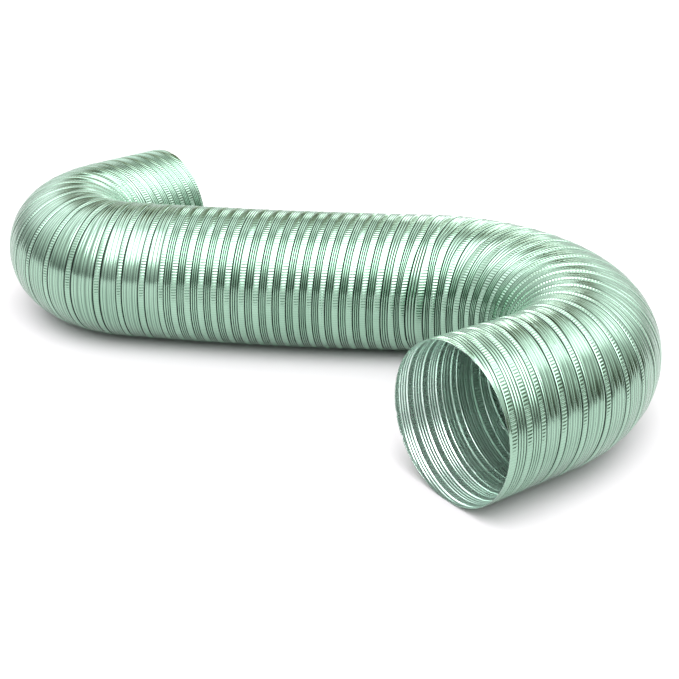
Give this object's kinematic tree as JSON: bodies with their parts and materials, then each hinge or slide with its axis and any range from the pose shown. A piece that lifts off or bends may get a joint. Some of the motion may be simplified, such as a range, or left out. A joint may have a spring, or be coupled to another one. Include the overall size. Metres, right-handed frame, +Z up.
{
  "type": "flexible air duct",
  "caption": "Semi-rigid round flexible air duct in wound, crimped aluminium, open at both ends and laid in a loose S, which bends, lifts and stretches.",
  "frame": {"origin": "on the surface that the duct lies on, under the centre of its box", "axes": "+Z up, +X along the mid run towards the near bend, -Y towards the near mouth"},
  "size_m": [0.5012, 0.4524, 0.104],
  "materials": {
    "aluminium_strip": "bright rolled foil"
  },
  "bodies": {
    "near_leg_01": {"near_leg_01": "aluminium_strip"},
    "near_leg_02": {"near_leg_02": "aluminium_strip"},
    "near_leg_03": {"near_leg_03": "aluminium_strip"},
    "near_bend_01": {"near_bend_01": "aluminium_strip"},
    "near_bend_02": {"near_bend_02": "aluminium_strip"},
    "near_bend_03": {"near_bend_03": "aluminium_strip"},
    "near_bend_04": {"near_bend_04": "aluminium_strip"},
    "near_bend_05": {"near_bend_05": "aluminium_strip"},
    "near_bend_06": {"near_bend_06": "aluminium_strip"},
    "near_bend_07": {"near_bend_07": "aluminium_strip"},
    "near_bend_08": {"near_bend_08": "aluminium_strip"},
    "near_bend_09": {"near_bend_09": "aluminium_strip"},
    "near_bend_10": {"near_bend_10": "aluminium_strip"},
    "near_bend_11": {"near_bend_11": "aluminium_strip"},
    "near_bend_12": {"near_bend_12": "aluminium_strip"},
    "mid_run_01": {"mid_run_01": "aluminium_strip"},
    "mid_run_02": {"mid_run_02": "aluminium_strip"},
    "mid_run_03": {"mid_run_03": "aluminium_strip"},
    "mid_run_04": {"mid_run_04": "aluminium_strip"},
    "mid_run_05": {"mid_run_05": "aluminium_strip"},
    "mid_run_06": {"mid_run_06": "aluminium_strip"},
    "mid_run_07": {"mid_run_07": "aluminium_strip"},
    "mid_run_08": {"mid_run_08": "aluminium_strip"},
    "mid_run_09": {"mid_run_09": "aluminium_strip"},
    "mid_run_10": {"mid_run_10": "aluminium_strip"},
    "mid_run_11": {"mid_run_11": "aluminium_strip"},
    "far_bend_01": {"far_bend_01": "aluminium_strip"},
    "far_bend_02": {"far_bend_02": "aluminium_strip"},
    "far_bend_03": {"far_bend_03": "aluminium_strip"},
    "far_bend_04": {"far_bend_04": "aluminium_strip"},
    "far_bend_05": {"far_bend_05": "aluminium_strip"},
    "far_bend_06": {"far_bend_06": "aluminium_strip"},
    "far_bend_07": {"far_bend_07": "aluminium_strip"},
    "far_leg_01": {"far_leg_01": "aluminium_strip"},
    "far_leg_02": {"far_leg_02": "aluminium_strip"},
    "far_leg_03": {"far_leg_03": "aluminium_strip"}
  },
  "joints": [
    {"name": "near_mouth_tilt", "type": "hinge", "parent": "near_leg_03", "child": "near_leg_02", "pos_m": [0.14645, -0.15708, 0.104], "axis": [-0.662, 0.7495, 0], "range_deg": [0, 20]},
    {"name": "near_mouth_tilt_2", "type": "hinge", "parent": "near_leg_02", "child": "near_leg_01", "pos_m": [0.12896, -0.17252, 0.104], "axis": [-0.662, 0.7495, 0], "range_deg": [0, 20]},
    {"name": "near_bend", "type": "hinge", "parent": "mid_run_01", "child": "near_bend_12", "pos_m": [0.08427, 0.0895, 0.052], "axis": [0, 0, 1], "range_deg": [0, 10.99]},
    {"name": "near_bend_2", "type": "hinge", "parent": "near_bend_12", "child": "near_bend_11", "pos_m": [0.11634, 0.0886, 0.052], "axis": [0, 0, 1], "range_deg": [0, 10.99]},
    {"name": "near_bend_3", "type": "hinge", "parent": "near_bend_11", "child": "near_bend_10", "pos_m": [0.14753, 0.08111, 0.052], "axis": [0, 0, 1], "range_deg": [0, 10.99]},
    {"name": "near_bend_4", "type": "hinge", "parent": "near_bend_10", "child": "near_bend_09", "pos_m": [0.17651, 0.06734, 0.052], "axis": [0, 0, 1], "range_deg": [0, 10.99]},
    {"name": "near_bend_5", "type": "hinge", "parent": "near_bend_09", "child": "near_bend_08", "pos_m": [0.20202, 0.04788, 0.052], "axis": [0, 0, 1], "range_deg": [0, 10.99]},
    {"name": "near_bend_6", "type": "hinge", "parent": "near_bend_08", "child": "near_bend_07", "pos_m": [0.22297, 0.02358, 0.052], "axis": [0, 0, 1], "range_deg": [0, 10.99]},
    {"name": "near_bend_7", "type": "hinge", "parent": "near_bend_07", "child": "near_bend_06", "pos_m": [0.23845, -0.00452, 0.052], "axis": [0, 0, 1], "range_deg": [0, 10.99]},
    {"name": "near_bend_8", "type": "hinge", "parent": "near_bend_06", "child": "near_bend_05", "pos_m": [0.2478, -0.03521, 0.052], "axis": [0, 0, 1], "range_deg": [0, 10.99]},
    {"name": "near_bend_9", "type": "hinge", "parent": "near_bend_05", "child": "near_bend_04", "pos_m": [0.25062, -0.06717, 0.052], "axis": [0, 0, 1], "range_deg": [0, 10.99]},
    {"name": "near_bend_10", "type": "hinge", "parent": "near_bend_04", "child": "near_bend_03", "pos_m": [0.24678, -0.09902, 0.052], "axis": [0, 0, 1], "range_deg": [0, 10.99]},
    {"name": "near_bend_11", "type": "hinge", "parent": "near_bend_03", "child": "near_bend_02", "pos_m": [0.23645, -0.1294, 0.052], "axis": [0, 0, 1], "range_deg": [0, 10.99]},
    {"name": "near_bend_12", "type": "hinge", "parent": "near_bend_02", "child": "near_bend_01", "pos_m": [0.22008, -0.15699, 0.052], "axis": [0, 0, 1], "range_deg": [0, 10.99]},
    {"name": "near_bend_13", "type": "hinge", "parent": "near_bend_01", "child": "near_leg_03", "pos_m": [0.19836, -0.18061, 0.052], "axis": [0, 0, 1], "range_deg": [0, 10.99]},
    {"name": "stretch", "type": "slide", "parent": "mid_run_06", "child": "mid_run_05", "axis": [1, 0.0069, 0], "range_m": [0, 0.039]},
    {"name": "stretch_2", "type": "slide", "parent": "mid_run_06", "child": "mid_run_07", "axis": [-1, 0.0069, 0], "range_m": [0, 0.039]},
    {"name": "stretch_3", "type": "slide", "parent": "mid_run_04", "child": "mid_run_03", "axis": [0.9994, 0.0345, 0], "range_m": [0, 0.039]},
    {"name": "stretch_4", "type": "slide", "parent": "mid_run_08", "child": "mid_run_09", "axis": [-0.9994, 0.0345, 0], "range_m": [0, 0.039]},
    {"name": "stretch_5", "type": "slide", "parent": "mid_run_02", "child": "mid_run_01", "axis": [0.9981, 0.0621, 0], "range_m": [0, 0.039]},
    {"name": "stretch_6", "type": "slide", "parent": "mid_run_10", "child": "mid_run_11", "axis": [-0.9981, 0.0621, 0], "range_m": [0, 0.039]},
    {"name": "near_lift", "type": "hinge", "parent": "mid_run_05", "child": "mid_run_04", "pos_m": [0.00599, 0.03368, 0.104], "axis": [0.0207, -0.9998, 0], "range_deg": [0, 20]},
    {"name": "near_lift_2", "type": "hinge", "parent": "mid_run_03", "child": "mid_run_02", "pos_m": [0.04713, 0.0351, 0.104], "axis": [0.0483, -0.9988, 0], "range_deg": [0, 20]},
    {"name": "far_lift", "type": "hinge", "parent": "mid_run_07", "child": "mid_run_08", "pos_m": [-0.05575, 0.03368, 0.104], "axis": [0.0207, 0.9998, 0], "range_deg": [0, 20]},
    {"name": "far_lift_2", "type": "hinge", "parent": "mid_run_09", "child": "mid_run_10", "pos_m": [-0.09689, 0.0351, 0.104], "axis": [0.0483, 0.9988, 0], "range_deg": [0, 20]},
    {"name": "far_bend", "type": "hinge", "parent": "mid_run_11", "child": "far_bend_01", "pos_m": [-0.14192, -0.0142, 0.052], "axis": [0, 0, 1], "range_deg": [0, 15.66]},
    {"name": "far_bend_2", "type": "hinge", "parent": "far_bend_01", "child": "far_bend_02", "pos_m": [-0.17753, -0.00578, 0.052], "axis": [0, 0, 1], "range_deg": [0, 15.66]},
    {"name": "far_bend_3", "type": "hinge", "parent": "far_bend_02", "child": "far_bend_03", "pos_m": [-0.20883, 0.01318, 0.052], "axis": [0, 0, 1], "range_deg": [0, 15.66]},
    {"name": "far_bend_4", "type": "hinge", "parent": "far_bend_03", "child": "far_bend_04", "pos_m": [-0.2328, 0.04084, 0.052], "axis": [0, 0, 1], "range_deg": [0, 15.66]},
    {"name": "far_bend_5", "type": "hinge", "parent": "far_bend_04", "child": "far_bend_05", "pos_m": [-0.2471, 0.07453, 0.052], "axis": [0, 0, 1], "range_deg": [0, 15.66]},
    {"name": "far_bend_6", "type": "hinge", "parent": "far_bend_05", "child": "far_bend_06", "pos_m": [-0.25035, 0.11098, 0.052], "axis": [0, 0, 1], "range_deg": [0, 15.66]},
    {"name": "far_bend_7", "type": "hinge", "parent": "far_bend_06", "child": "far_bend_07", "pos_m": [-0.24224, 0.14666, 0.052], "axis": [0, 0, 1], "range_deg": [0, 15.66]},
    {"name": "far_bend_8", "type": "hinge", "parent": "far_bend_07", "child": "far_leg_01", "pos_m": [-0.22356, 0.17813, 0.052], "axis": [0, 0, 1], "range_deg": [0, 15.66]},
    {"name": "far_mouth_tilt", "type": "hinge", "parent": "far_leg_01", "child": "far_leg_02", "pos_m": [-0.17006, 0.1612, 0.104], "axis": [0.77, -0.6381, 0], "range_deg": [0, 20]},
    {"name": "far_mouth_tilt_2", "type": "hinge", "parent": "far_leg_02", "child": "far_leg_03", "pos_m": [-0.15659, 0.17744, 0.104], "axis": [0.77, -0.6381, 0], "range_deg": [0, 20]}
  ],
  "couplings": [
    {"joint": "near_mouth_tilt_2", "follows": "near_mouth_tilt", "ratio": 1},
    {"joint": "near_bend_2", "follows": "near_bend", "ratio": 1},
    {"joint": "near_bend_3", "follows": "near_bend", "ratio": 1},
    {"joint": "near_bend_4", "follows": "near_bend", "ratio": 1},
    {"joint": "near_bend_5", "follows": "near_bend", "ratio": 1},
    {"joint": "near_bend_6", "follows": "near_bend", "ratio": 1},
    {"joint": "near_bend_7", "follows": "near_bend", "ratio": 1},
    {"joint": "near_bend_8", "follows": "near_bend", "ratio": 1},
    {"joint": "near_bend_9", "follows": "near_bend", "ratio": 1},
    {"joint": "near_bend_10", "follows": "near_bend", "ratio": 1},
    {"joint": "near_bend_11", "follows": "near_bend", "ratio": 1},
    {"joint": "near_bend_12", "follows": "near_bend", "ratio": 1},
    {"joint": "near_bend_13", "follows": "near_bend", "ratio": 1},
    {"joint": "stretch_2", "follows": "stretch", "ratio": 1},
    {"joint": "stretch_3", "follows": "stretch", "ratio": 1},
    {"joint": "stretch_4", "follows": "stretch", "ratio": 1},
    {"joint": "stretch_5", "follows": "stretch", "ratio": 1},
    {"joint": "stretch_6", "follows": "stretch", "ratio": 1},
    {"joint": "near_lift_2", "follows": "near_lift", "ratio": 1},
    {"joint": "far_lift_2", "follows": "far_lift", "ratio": 1},
    {"joint": "far_bend_2", "follows": "far_bend", "ratio": 1},
    {"joint": "far_bend_3", "follows": "far_bend", "ratio": 1},
    {"joint": "far_bend_4", "follows": "far_bend", "ratio": 1},
    {"joint": "far_bend_5", "follows": "far_bend", "ratio": 1},
    {"joint": "far_bend_6", "follows": "far_bend", "ratio": 1},
    {"joint": "far_bend_7", "follows": "far_bend", "ratio": 1},
    {"joint": "far_bend_8", "follows": "far_bend", "ratio": 1},
    {"joint": "far_mouth_tilt_2", "follows": "far_mouth_tilt", "ratio": 1}
  ]
}
